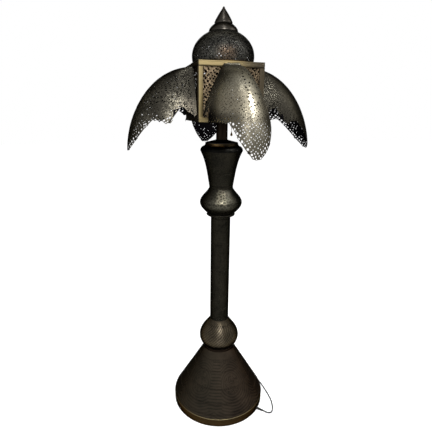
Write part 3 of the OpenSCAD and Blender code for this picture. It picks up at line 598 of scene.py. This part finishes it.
def makePlug(look):
    bm = bmesh.new()
    shape = bmesh.ops.create_cube(bm, size=1)["verts"]
    bmesh.ops.scale(bm, verts=shape, vec=(look["long"] * mm, look["wide"] * mm, look["high"] * mm))
    for vert in shape:
        if vert.co.x < 0:
            vert.co.y *= 0.5
    bmesh.ops.bevel(bm, geom=bm.edges, offset=look["round"] * mm, segments=4, profile=0.5,
                    affect="EDGES", material=-1)
    bmesh.ops.translate(bm, verts=bm.verts, vec=((look["relief"] - 1 + look["long"] / 2) * mm, 0, 0))
    for i in range(look["ribs"]):  # the strain relief, a row of rubber ribs
        thin = bmesh.ops.create_cone(bm, cap_ends=True, segments=24, depth=2.6 * mm,
                                     radius1=(3.7 + 0.5 * i) * mm, radius2=(3.8 + 0.5 * i) * mm)["verts"]
        bmesh.ops.rotate(bm, verts=thin, cent=(0, 0, 0), matrix=Matrix.Rotation(math.pi / 2, 3, "Y"))
        bmesh.ops.translate(bm, verts=thin, vec=((1.5 + 3.7 * i) * mm, 0, 0))
    core = bmesh.ops.create_cone(bm, cap_ends=True, segments=24, depth=look["relief"] * mm,
                                 radius1=3.3 * mm, radius2=4.6 * mm)["verts"]
    bmesh.ops.rotate(bm, verts=core, cent=(0, 0, 0), matrix=Matrix.Rotation(math.pi / 2, 3, "Y"))
    bmesh.ops.translate(bm, verts=core, vec=(look["relief"] / 2 * mm, 0, 0))
    bmesh.ops.rotate(bm, verts=bm.verts, cent=(0, 0, 0), matrix=Matrix.Rotation(math.pi, 3, "Z"))
    bmesh.ops.translate(bm, verts=bm.verts, vec=plugSpot)
    return keep("plugShell", bm, look)


plugShell = makePlug(plugLook)
print("cord is laid")

# the turned stem
footLook = {"slot": "band_brass", "finish": "footBrass", "instead": ["foot_band"], "outside": 208,
            "inside": 192, "flange": 178, "wall": 2, "bead": 3.0, "beadAt": (205.5, 35)}


def footOutline(look):  # a pan with a bead along its top edge, and a flange inside
    outside, inside, flange, wall = look["outside"], look["inside"], look["flange"], look["wall"]
    beadOut, beadUp = look["beadAt"]
    return [(inside, wall), (outside, wall), (outside, 30)] + [
        (beadOut + look["bead"] * math.cos(a), beadUp + look["bead"] * math.sin(a))
        for a in np.linspace(-1.2, 1.45, 12)
    ] + [(outside - wall, levels["bandTop"] - 0.1), (outside - wall, 2 * wall), (inside, 2 * wall),
         (inside, 44), (flange, 44), (flange, 42), (inside - wall, 42), (inside - wall, wall)]


keep("footBand", spun(footOutline(footLook), 192), footLook)

coneLook = {"slot": "engraved_brass", "finish": "coneBrass", "instead": ["base_cone"],
            "foot": 207, "neck": 70, "bore": 5.2, "wall": 2,
            "grooves": [14, 18, 58, 62, 118, 122, 190, 194, 240], "deep": 0.7, "wide": 2.0}


def coneOutline(look):  # the cone's top is closed as far as the rod's bore
    foot, neck, bore, wall = look["foot"], look["neck"], look["bore"], look["wall"]
    low, top = levels["bandTop"], levels["coneTop"]
    line = grooved([(foot, low), (foot, low + 3), (neck + 2, top - 10), (neck, top - 6), (neck, top)],
                   look["grooves"], look["deep"], look["wide"])
    inner = shellOf(line, wall)[len(line) + 1:]
    return line + [(bore, top), (bore, top - wall), (neck - wall, top - wall)] + inner


keep("baseCone", spun(coneOutline(coneLook), 192), coneLook)

ballLook = {"slot": "engraved_brass", "finish": "ballBrass", "instead": ["lower_ball"],
            "grooves": [6, 10, 118, 122], "deep": 0.6, "wide": 1.8, "wall": 2}
ballLow = swell(radii["collar"], radii["ball"], levels["collarTop"], levels["ballMid"], 0.9, 16)
ballHigh = swell(radii["column"], radii["ball"], levels["ballTop"], levels["ballMid"], 1.15, 26)[::-1]
turned("lowerBall", ballLow + ballHigh[1:], ballLook, 128)

columnLook = {"slot": "engraved_brass", "finish": "engravedBrass", "instead": ["column_tube"],
              "grooves": [8, 12, 60, 63, 120, 123, 240, 244, 362, 365, 425, 428, 476, 480],
              "deep": 0.6, "wide": 2.0, "wall": 2}
columnLine = [(radii["column"], levels["ballTop"]), (radii["column"], levels["columnTop"])]
turned("engravedColumn", columnLine, columnLook, 96)

knopLook = {"slot": "engraved_brass", "finish": "engravedBrass", "instead": ["upper_knop"],
            "grooves": [8, 12, 60, 64, 130], "deep": 0.6, "wide": 1.8, "wall": 2}
knopLow = swell(radii["knopBase"], radii["knop"], levels["knopBase"], levels["knopMid"], 1.0, 18)
knopHigh = swell(radii["waist"], radii["knop"], levels["waist"], levels["knopMid"], 1.65, 24)[::-1]
turned("upperKnop", knopLow + knopHigh[1:], knopLook, 128)

vaseLook = {"slot": "engraved_brass", "finish": "engravedBrass", "instead": ["vase"],
            "grooves": [5, 9, 60, 63], "deep": 0.6, "wide": 1.8, "wall": 2}
flare, rise = radii["rim"] - radii["waist"], levels["rim"] - levels["waist"]
vaseLine = [(radii["waist"] + flare * (0.62 * u + 0.38 * u ** 4), levels["waist"] + rise * u)
            for u in np.linspace(0, 1, 30)]
turned("flaredVase", vaseLine, vaseLook, 128)

shoulderLook = {"slot": "engraved_brass", "finish": "engravedBrass", "instead": ["vase_shoulder"],
                "top": 69, "bore": 57, "wall": 2}
shoulder = crown(shoulderLook["top"], radii["rim"], levels["rim"], levels["shoulderTop"] - levels["rim"], 14)
keep("vaseShoulder", spun(capped(shoulder, shoulderLook["bore"], shoulderLook["wall"])), shoulderLook)

collarLook = {"slot": "copper_brass", "finish": "copperBrass", "instead": ["lower_collar"]}
collarEdge = bulge(72, 1.2, levels["coneTop"], levels["collarTop"], 9)
keep("lowerCollar", spun([(58, levels["coneTop"])] + collarEdge + [(58, levels["collarTop"])]), collarLook)

ringLook = {"slot": "engraved_brass", "finish": "engravedBrass", "instead": ["knop_ring"], "bore": 29.5}
ringLow, ringTop = levels["columnTop"], levels["knopBase"]
ring = [(ringLook["bore"], ringLow), (54, ringLow), (58, ringLow + 1.5)] + bulge(
    58.5, 1.5, ringLow + 2, ringTop - 2, 7) + [(57, ringTop), (ringLook["bore"], ringTop)]
keep("knopRing", spun(ring, 96), ringLook)
print("stem is turned")


# pierced sheet: a lattice of diamonds with round and drop-shaped holes
def lattice(columns, rows, width, height):
    bm = bmesh.new()
    bmesh.ops.create_grid(bm, x_segments=columns, y_segments=rows, size=0.5,
                          matrix=Matrix.Diagonal((columns * width, rows * height, 1, 1)))
    bmesh.ops.translate(bm, verts=bm.verts, vec=(0, rows * height / 2, 0))
    grid = list(bm.edges)
    bmesh.ops.poke(bm, faces=bm.faces)
    bmesh.ops.dissolve_edges(bm, edges=[e for e in grid if len(e.link_faces) == 2], use_verts=False)
    return bm


# holeOf gives a cell's hole: its radius, how pointed it is, and which way it points
def pierce(bm, thin, holeOf):
    chosen = []
    for face in bm.faces:
        if len(face.verts) == 4:
            centre = face.calc_center_median()
            size, point, way = holeOf(centre, face)
            if size > 0:
                chosen.append((face, centre, size, point, way))
    bmesh.ops.inset_individual(bm, faces=[c[0] for c in chosen], thickness=thin, use_even_offset=True)
    for face, centre, size, point, way in chosen:
        corners, edges = list(face.verts), list(face.edges)
        bm.faces.remove(face)
        for vert in corners + [bmesh.utils.edge_split(e, e.verts[0], 0.5)[1] for e in edges]:
            angle = math.atan2(vert.co.y - centre.y, vert.co.x - centre.x)
            reach = size * (1 + point * max(0.0, math.cos(angle - way)) ** 3)
            vert.co = centre + Vector((math.cos(angle) * reach, math.sin(angle) * reach, 0))
    return bm


# 1 in the middle of a flower, -1 between flowers, and the way to the middle
def rosette(x, y, width, height, period=8):
    p, q = turn / period * round(2 * x / width), turn / period * round(2 * y / height)
    way = math.atan2(-math.cos(p) * math.sin(q), -math.sin(p) * math.cos(q))
    return math.cos(p) * math.cos(q), way


def scatter(x, y):  # an uneven number from 0 to 1 for a place, the same each run
    return (math.sin(x * 12.9898 + y * 78.233) * 43758.5453) % 1


def sway(bm, width, amount, verts=None):  # bends the rows of a lattice as hand-cut work is bent
    for vert in verts or bm.verts:
        x, y = vert.co.x / width, vert.co.y / width
        vert.co.x += width * amount * (math.sin(1.9 * y + 0.7 * x) + 0.6 * math.sin(3.1 * x - 1.3 * y))
        vert.co.y += width * amount * (math.sin(2.3 * x - 0.9 * y) + 0.6 * math.sin(2.7 * y + 1.1 * x))


# leaf shades
leafLook = {"slot": "leaf_brass", "finish": "leafBrass", "cell": 15.0, "thick": 1.2, "tab": 6.0,
            "reach": 249.0, "drop": 304.0, "sideDrop": 286.0, "topWide": 66.0, "wide": 243.4, "top": 1488.0,
            "face": 123.0, "flare": 1.93, "curl": 1.1, "dots": {"middle": 40.0, "wide": 44.0, "radius": 3.6}}
# Each leaf has the lean and half width of its middle lobe, the sizes of its holes in the lace at the hem
# and the net above it as shares of a cell, where the net and the lace start, and how few holes there
# are higher up.
leaves = {
    "front": {"lobe": (0.1, 0.55), "lace": 0.18, "net": 0.1, "from": (0.62, 0.93), "few": 0.35,
              "dotted": True},
    "right": {"lobe": (0.0, 0.68), "lace": 0.17, "net": 0.06, "from": (0.86, 0.93), "few": 0.7},
    "back": {"lobe": (-0.1, 0.55), "lace": 0.04, "net": 0.07, "from": (0.82, 0.93), "few": 0.97},
    "left": {"lobe": (0.08, 0.58), "lace": 0.18, "net": 0.07, "from": (0.8, 0.93), "few": 0.5,
             "flank": (8.0, 0.34)},
}


def leafPoint(look, t, u):
    t, u = np.broadcast_arrays(np.asarray(t, float), np.asarray(u, float))
    quarter = math.pi / 2
    half = (look["topWide"] + (look["wide"] - look["topWide"]) * np.sin(quarter * t) ** look["flare"]) / 2
    fall = 1 - np.clip(np.cos(quarter * t), 0, None) ** look["curl"]
    across = np.sin(quarter * np.abs(u)) ** 1.2
    bow = np.clip(np.cos(quarter * u), 0, None) ** 0.55
    return np.stack([np.sign(u) * half * across,
                     -look["face"] - look["reach"] * np.sin(quarter * t) * bow,
                     look["top"] - fall * (look["sideDrop"] + (look["drop"] - look["sideDrop"]) * bow)], -1)


def arch(x, width):
    return math.cos(math.pi / 2 * x / width) if abs(x) < width else 0.0


def hem(u, lobe):
    return 0.742 + 0.258 * arch(u - lobe[0], lobe[1]) ** 1.1 + 0.03 * arch(abs(u) - 0.84, 0.08) \
        - 0.1 * arch(abs(u) - 0.945, 0.062)


def leafChart(look):  # from distances on the sheet, down the middle and across, to t and u
    tSteps, uSteps = np.linspace(0, 1, 201), np.linspace(0, 1, 121)
    down = np.linalg.norm(np.diff(leafPoint(look, tSteps, 0.0), axis=0), axis=1)
    down = np.concatenate([[0], np.cumsum(down)])
    rows = leafPoint(look, tSteps[:, None], uSteps[None, :])
    arcs = np.linalg.norm(np.diff(rows, axis=1), axis=2)
    arcs = np.concatenate([np.zeros((len(tSteps), 1)), np.cumsum(arcs, axis=1)], axis=1)

    def chart(s, v):
        t = float(np.interp(v, down, tSteps))
        i = min(int(t * 200), 199)
        f = t * 200 - i
        u = (1 - f) * np.interp(abs(s), arcs[i], uSteps) + f * np.interp(abs(s), arcs[i + 1], uSteps)
        edge = (1 - f) * arcs[i, -1] + f * arcs[i + 1, -1]
        return t, math.copysign(float(u), s), edge - abs(s)
    return chart, float(down[-1]), lambda t: float(np.interp(t, tSteps, down))


def makeLeaf(look, own):
    chart, length, downTo = leafChart(look)
    cell, rows, dots = look["cell"], round(length / look["cell"]), look["dots"]
    lobe, lace, net = own["lobe"], own["lace"], own["net"]
    tall = length / rows
    bm = lattice(2 * round(335 / cell), rows + 2, cell, tall)
    bmesh.ops.translate(bm, verts=bm.verts, vec=(0, -tall, 0))  # the first row is the tab on the rim
    sway(bm, cell, 0.26)
    out = []
    for face in bm.faces:
        t, u, spare = chart(*face.calc_center_median().xy)
        if t > hem(u, lobe) - 0.008 or face.calc_center_median().y > length or all(
                chart(*v.co.xy)[2] < 0.5 for v in face.verts):
            out.append(face)
    bmesh.ops.delete(bm, geom=out, context="FACES")
    for vert in bm.verts:  # the hem, cut in small scallops
        t, u, spare = chart(vert.co.x, vert.co.y)
        if vert.is_boundary and spare > 1.0 and t > hem(u, lobe) - 0.06:
            for step in range(3):
                t, u, spare = chart(vert.co.x, vert.co.y)
                vert.co.y = downTo(min(hem(u, lobe) + (0.004 if len(vert.link_faces) < 2 else -0.006), 1.0))

    def holeOf(centre, face):
        t, u, spare = chart(centre.x, centre.y)
        if spare < cell * 0.9 or centre.y < cell:
            return 0, 0, 0
        low = t / hem(u, lobe)
        flower, way = rosette(centre.x, centre.y, cell, tall)
        uneven = scatter(centre.x, centre.y)
        most = 0.36 * math.sqrt(face.calc_area())
        if low > own["from"][1]:  # the lace at the hem
            return min(cell * (lace + 0.08 * uneven), most), 0.3, way
        if low > own["from"][0] and uneven > own["few"] - 0.35:
            return min(cell * (net + 0.02 * abs(flower) + 0.05 * uneven), most), 0.5, way
        # one flank is pierced further up
        if "flank" in own and centre.x > own["flank"][0] and low > own["flank"][1] and uneven > 0.15:
            return min(cell * (0.15 + 0.09 * uneven), most), 0.6, way
        if "dotted" in own and abs(centre.x - dots["middle"]) < dots["wide"] and low > 0.1:
            # rows of round holes
            stripe = round(2 * centre.x / cell) % 2 == 0 and uneven > 0.2
            return (dots["radius"] * (0.85 + 0.3 * uneven), 0, way) if stripe else (0, 0, 0)
        return (cell * (0.07 + 0.05 * uneven), 0.3, way) if low > 0.14 and uneven > own["few"] else (0, 0, 0)

    pierce(bm, cell * 0.12, holeOf)
    for vert in bm.verts:
        t, u, spare = chart(vert.co.x, vert.co.y)
        place = Vector(leafPoint(look, t, u))
        up = -vert.co.y / tall
        if up > 0:
            place = Vector((place.x * (1 - 0.15 * up), -look["face"] - 1.6, look["top"] + look["tab"] * up))
        vert.co = place * mm
    bmesh.ops.remove_doubles(bm, verts=bm.verts, dist=2e-5)
    bmesh.ops.dissolve_degenerate(bm, edges=bm.edges, dist=1e-5)
    bmesh.ops.delete(bm, geom=[v for v in bm.verts if not v.link_faces], context="VERTS")
    bmesh.ops.recalc_face_normals(bm, faces=bm.faces)
    if sum((f.normal.z - f.normal.y) * f.calc_area() for f in bm.faces) < 0:
        bmesh.ops.reverse_faces(bm, faces=bm.faces)
    return bm


def addWall(made, thick, inside=None):
    wall = made.modifiers.new("wall", "SOLIDIFY")
    wall.thickness = thick * mm
    wall.offset = -1
    wall.use_even_offset = False
    if inside:
        made.data.materials.append(finishes[inside])
        wall.material_offset = 1
    return made


for number, side in enumerate(leaves):
    sheet = makeLeaf(leafLook, leaves[side])
    toSide(sheet, number)
    leaf = keep(f"{side}Leaf", sheet, dict(leafLook, instead=[f"leaf_{side}"]), sharp=60)
    addWall(leaf, leafLook["thick"], "shadedInnerBrass")
print("leaf shades are cut")

# lantern
panelLook = {"slot": "panel_brass", "finish": "panelBrass", "cell": 15.0, "thick": 1.0, "half": 119.6,
             "low": 1295.2, "high": 1498.8, "open": (105.0, 1309.0, 1481.0)}


def makePanel(look):
    cell, height = look["cell"], look["high"] - look["low"]
    columns, rows = 2 * round(look["half"] / cell), round(height / cell)
    wide, tall = 2 * look["half"] / columns, height / rows
    bm = lattice(columns, rows, wide, tall)
    inside = [v for v in bm.verts if not v.is_boundary]
    sway(bm, cell, 0.27, inside)
    side, foot, top = look["open"]

    def holeOf(centre, face):
        z = look["low"] + centre.y
        if abs(centre.x) > side + 3 or z < foot - 3 or z > top + 3:
            return 0, 0, 0
        flower, way = rosette(centre.x, centre.y - height / 2, wide, tall)
        return cell * (0.2 + 0.03 * flower + 0.11 * scatter(centre.x, centre.y)), 0.5 * (1 - abs(flower)), way

    pierce(bm, cell * 0.12, holeOf)
    for vert in bm.verts:
        vert.co = Vector((vert.co.x, -120.9, look["low"] + vert.co.y)) * mm
    bmesh.ops.recalc_face_normals(bm, faces=bm.faces)
    if sum(f.normal.y for f in bm.faces) > 0:
        bmesh.ops.reverse_faces(bm, faces=bm.faces)
    return bm


panelSheet = makePanel(panelLook)
for number, side in enumerate(leaves):
    copied = panelSheet.copy()
    toSide(copied, number)
    panel = keep(f"{side}Panel", copied, dict(panelLook, instead=[f"panel_{side}"]))
    addWall(panel, panelLook["thick"], "shadedInnerBrass")
panelSheet.free()

rimLook = {"slot": "gold_brass", "finish": "goldBrass"}
rimProfiles = {
    "topRim": (["top_rim"], [
        (123, 1481), (123, 1483), (122.2, 1484), (122.2, 1485.4), (123, 1486.4), (123, 1494), (122.3, 1495),
        (122.3, 1496.6), (123, 1497.6), (122.9, 1500.6), (122.5, 1501), (121.1, 1501), (121.1, 1481)]),
    "lowRim": (["low_rim"], [
        (122.6, 1293), (123, 1293.4), (123, 1296), (122.3, 1297), (122.3, 1298.4), (123, 1299.4),
        (123, 1307), (122.6, 1309), (121.1, 1309), (121.1, 1293)]),
}
for name, (nodes, profile) in rimProfiles.items():
    keep(name, spun(profile, 4, math.sqrt(2), turn / 8), dict(rimLook, instead=nodes), sharp=20)

postLook = {"slot": "gold_brass", "finish": "goldBrass", "instead": ["corner_posts"], "out": 123.0,
            "wide": 18.0, "thick": 2.0, "low": 1309.0, "high": 1481.0, "round": 0.5}


def makePosts(look):
    bm = bmesh.new()
    a, w, t = -look["out"], look["wide"], look["thick"]
    angle = [(a, a), (a + w, a), (a + w, a + t), (a + t, a + t), (a + t, a + w), (a, a + w)]
    for number in range(4):
        way = Matrix.Rotation(turn / 4 * number, 3, "Z")
        face = bm.faces.new([bm.verts.new(way @ Vector((x, y, look["low"])) * mm) for x, y in angle])
        raised = bmesh.ops.extrude_face_region(bm, geom=[face])["geom"]
        bmesh.ops.translate(bm, verts=[v for v in raised if isinstance(v, bmesh.types.BMVert)],
                            vec=(0, 0, (look["high"] - look["low"]) * mm))
    bmesh.ops.recalc_face_normals(bm, faces=bm.faces)
    upright = [e for e in bm.edges if abs((e.verts[0].co - e.verts[1].co).z) > 0.1]
    bmesh.ops.bevel(bm, geom=upright, offset=look["round"] * mm, segments=2, profile=0.5,
                    affect="EDGES", material=-1)
    return keep("cornerPosts", bm, look, sharp=50)


makePosts(postLook)
print("lantern is framed")

# lid
domeLook = {"slot": "dark_brass", "finish": "domeBrass", "body": "lid", "instead": ["dome"], "columns": 48,
            "thick": 1.6, "radius": 118.0, "low": 24.0, "high": 97.0, "top": 53, "margin": 7.0, "open": 92.0}


def makeDome(look):
    start = -math.asin(look["low"] / look["high"])
    end = math.acos(look["top"] / look["radius"]) + math.radians(8)
    angles = np.linspace(start, end, 240)
    r, z = look["radius"] * np.cos(angles), levels["domeMid"] + look["high"] * np.sin(angles)
    walked = np.concatenate([[0], np.cumsum(np.hypot(np.diff(r), np.diff(z)))])
    length, columns = float(walked[-1]), look["columns"]
    wide = turn * look["radius"] / columns
    rows = round(length / wide)
    tall = length / rows
    bm = lattice(columns + 2, rows, wide, tall)
    seam = columns * wide / 2 + wide / 4
    bmesh.ops.delete(bm, context="FACES", geom=[
        f for f in bm.faces if not -seam + wide / 2 < f.calc_center_median().x <= seam])

    def holeOf(centre, face):
        if centre.y < look["margin"] or centre.y > look["open"]:
            return 0, 0, 0
        flower, way = rosette(centre.x, centre.y, wide, tall)
        thin = float(np.interp(centre.y, walked, r)) / look["radius"]
        uneven = scatter(centre.x, centre.y)
        if flower < -0.2 or uneven < 0.1:
            return 0, 0, 0
        return wide * thin * (0.12 + 0.05 * uneven), 0.6, way

    pierce(bm, wide * 0.12, holeOf)
    for vert in bm.verts:
        a = turn * vert.co.x / (columns * wide)
        radius, height = float(np.interp(vert.co.y, walked, r)), float(np.interp(vert.co.y, walked, z))
        vert.co = Vector((radius * math.sin(a), -radius * math.cos(a), height)) * mm
    bmesh.ops.remove_doubles(bm, verts=bm.verts, dist=2e-5)
    bmesh.ops.recalc_face_normals(bm, faces=bm.faces)
    if sum(f.normal.dot(f.calc_center_median() - Vector((0, 0, 1.5))) for f in bm.faces) < 0:
        bmesh.ops.reverse_faces(bm, faces=bm.faces)
    return addWall(keep("piercedDome", bm, look), look["thick"], "shadedInnerBrass")


makeDome(domeLook)

lidLook = {"slot": "dark_brass", "finish": "darkBrass", "body": "lid"}
capLook = dict(lidLook, instead=["dome_cap"], edge=55, inward=20, rise=26.8, bore=5.2, wall=2)
capLine = [(capLook["edge"] - capLook["inward"] * u * u, levels["skirt"] + capLook["rise"] * u)
           for u in np.linspace(0, 1, 17)]
capShell = capped(capLine, capLook["bore"], capLook["wall"])
keep("domeCap", spun([(54.2, levels["skirt"]), (55.2, levels["skirt"] + 0.8)] + capShell[1:], 96), capLook)

finialLook = dict(lidLook, instead=["finial"], base=34, tall=55, tipWide=4.6, tipHigh=6.2)


def finialOutline(look):  # a disc, a cone with slightly full sides, and a round tip
    foot, top = levels["finialFoot"], levels["finialTop"]
    return [(0, foot), (31, foot), (33, foot + 1.6)] + [
        (look["base"] * (1 - u ** 1.2), foot + 5 + look["tall"] * u) for u in np.linspace(0, 0.875, 24)] + [
        (look["tipWide"] * math.cos(a), top - look["tipHigh"] * (1 - math.sin(a)))
        for a in np.linspace(0.3, 1.4, 6)] + [(0, top)]


keep("finialPoint", spun(finialOutline(finialLook), 72), finialLook)
print("lid is made")

# finishes of the pieces that come from the frame
nodeFinishes = {
    "felt": ["felt_ring"], "iron": ["weight_plate"], "rubber": ["cord_grommet", "strain_relief"],
    "cord": ["inner_lead"], "pins": ["plug_pins"], "steel": ["centre_rod", "rod_nuts", "rod_washers"],
    "bandBrass": ["vase_band"], "copperBrass": ["neck_tube"], "darkBrass": ["vase_cap"],
    "plainBrass": ["centring_discs", "lantern_base", "top_plate", "leaf_brackets", "dome_flange",
                   "holder_cup", "holder_shell", "chain_eyelet", "pull_chain", "pull_bell"],
    "bakelite": ["lampholder"], "opal": ["bulb_glass"], "bulbCap": ["bulb_cap"],
}
for finish, nodes in nodeFinishes.items():
    for node in nodes:
        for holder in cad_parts[node].material_slots:
            holder.material = finishes[finish]
print("frame pieces are finished")

# floor, backdrop and lights
stageLook = {"size": 14.0, "floor": 0.9, "glow": 0.5, "world": 0.6}


def seenRays(nodes):  # 1 for what the camera sees, straight or in metal and glass
    camera = nodes.node("ShaderNodeLightPath", {}, [])
    rays = camera.socket.node.outputs
    return camera.most(Value(nodes, rays["Is Glossy Ray"])).most(Value(nodes, rays["Is Transmission Ray"]))


def makeStage(look):
    bm = bmesh.new()
    bmesh.ops.create_grid(bm, x_segments=1, y_segments=1, size=look["size"])
    mesh = bpy.data.meshes.new("floor")
    bm.to_mesh(mesh)
    bm.free()
    f = Finish("paleFloor")
    mesh.materials.append(f.put(
        Base_Color=(look["floor"],) * 3 + (1.0,), Roughness=0.9, Specular_IOR_Level=0.1,
        Emission_Color=(1.0, 1.0, 1.0, 1.0), Emission_Strength=seenRays(f) * look["glow"]))
    floor = placed("floor", mesh)
    world = bpy.data.worlds.new("studio")
    bpy.context.scene.world = world
    world.use_nodes = True
    w = Nodes(world.node_tree)
    background = w.tree.nodes["Background"]
    background.inputs["Color"].default_value = (1, 1, 1, 1)
    strength = seenRays(w) * (1 - look["world"]) + look["world"]
    w.tree.links.new(strength.socket, background.inputs["Strength"])


makeStage(stageLook)

lampLooks = {
    "highFront": {"at": (-0.3, -2.3, 2.9), "size": (0.6, 0.6), "power": 60.0},
    "rightKey": {"at": (2.4, -1.0, 3.0), "size": (1.4, 1.4), "power": 30.0},
    "fillLight": {"at": (-2.6, -1.6, 2.2), "size": (1.6, 1.6), "power": 12.0},
    "backLight": {"at": (0.6, 2.6, 2.8), "size": (1.6, 1.0), "power": 14.0},
    "topLight": {"at": (-0.1, -0.65, 3.6), "size": (0.3, 0.3), "power": 8.0},
}
leafLamp = {"at": (1.3, -1.3, 3.14), "to": (0.04, -0.3, 1.41), "radius": 0.16, "angle": 8.0, "soft": 0.6,
            "power": 980.0}


def hang(data, look, to):
    data.energy = look["power"]
    lamp = placed(data.name, data)
    lamp.location = look["at"]
    lamp.rotation_euler = (Vector(to) - Vector(look["at"])).to_track_quat("-Z", "Y").to_euler()


for name, look in lampLooks.items():
    data = bpy.data.lights.new(name, "AREA")
    data.shape = "RECTANGLE"
    data.size, data.size_y = look["size"]
    hang(data, look, (0, 0, 1.1))
data = bpy.data.lights.new("leafLamp", "SPOT")  # the shine on the front leaf
data.shadow_soft_size = leafLamp["radius"]
data.spot_size, data.spot_blend = math.radians(leafLamp["angle"]), leafLamp["soft"]
hang(data, leafLamp, leafLamp["to"])
bpy.context.scene.view_settings.view_transform = "Standard"
print("stage is lit")
